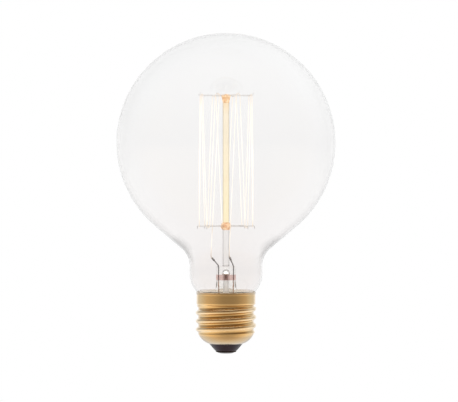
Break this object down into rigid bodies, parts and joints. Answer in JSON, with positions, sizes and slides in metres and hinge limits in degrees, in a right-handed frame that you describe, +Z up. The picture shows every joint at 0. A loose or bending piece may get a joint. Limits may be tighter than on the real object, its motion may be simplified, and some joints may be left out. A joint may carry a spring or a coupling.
{
  "type": "carbon filament bulb",
  "caption": "Clear globe lamp with a tall cage of looped filament strands on wire hooks, a glass stem and an E27 brass screw cap.",
  "frame": {"origin": "centre of the flat tip of the centre contact, on the lamp's axis", "axes": "+Z up the lamp's axis from cap to globe, -Y the front, where the filament's two ends come down"},
  "size_m": [0.095, 0.095, 0.1387],
  "materials": {
    "clear_glass": "polished, clear",
    "stem_glass": "polished, fire-worked",
    "amber_glass": "polished, warm in the glow",
    "support_wire": "drawn, dull",
    "filament_glow": "glowing carbon thread",
    "lead_wire": "drawn, dull nickel",
    "seal_wire": "red oxide under glass",
    "copper_wire": "drawn copper",
    "brass": "rolled, bright",
    "black_glass": "moulded, glossy black",
    "solder": "flowed solder",
    "cement": "baked cement"
  },
  "bodies": {
    "root": {"glass_globe": "clear_glass", "glass_stem": "stem_glass", "exhaust_tube": "stem_glass", "support_rod": "stem_glass", "lower_button": "amber_glass", "upper_button": "amber_glass", "upper_hook_1": "support_wire", "upper_hook_2": "support_wire", "upper_hook_3": "support_wire", "upper_hook_4": "support_wire", "upper_hook_5": "support_wire", "upper_hook_6": "support_wire", "upper_hook_7": "support_wire", "upper_hook_8": "support_wire", "lower_hook_1": "support_wire", "lower_hook_2": "support_wire", "lower_hook_3": "support_wire", "lower_hook_4": "support_wire", "lower_hook_5": "support_wire", "lower_hook_6": "support_wire", "lower_hook_7": "support_wire", "filament": "filament_glow", "left_lead": "lead_wire", "right_lead": "lead_wire", "left_clamp": "lead_wire", "right_clamp": "lead_wire", "left_seal_wire": "seal_wire", "right_seal_wire": "seal_wire", "contact_wire": "copper_wire", "shell_wire": "copper_wire", "cap_shell": "brass", "contact_plate": "brass", "cap_insulator": "black_glass", "contact_solder": "solder", "shell_weld": "solder", "cap_cement": "cement"}
  },
  "joints": []
}
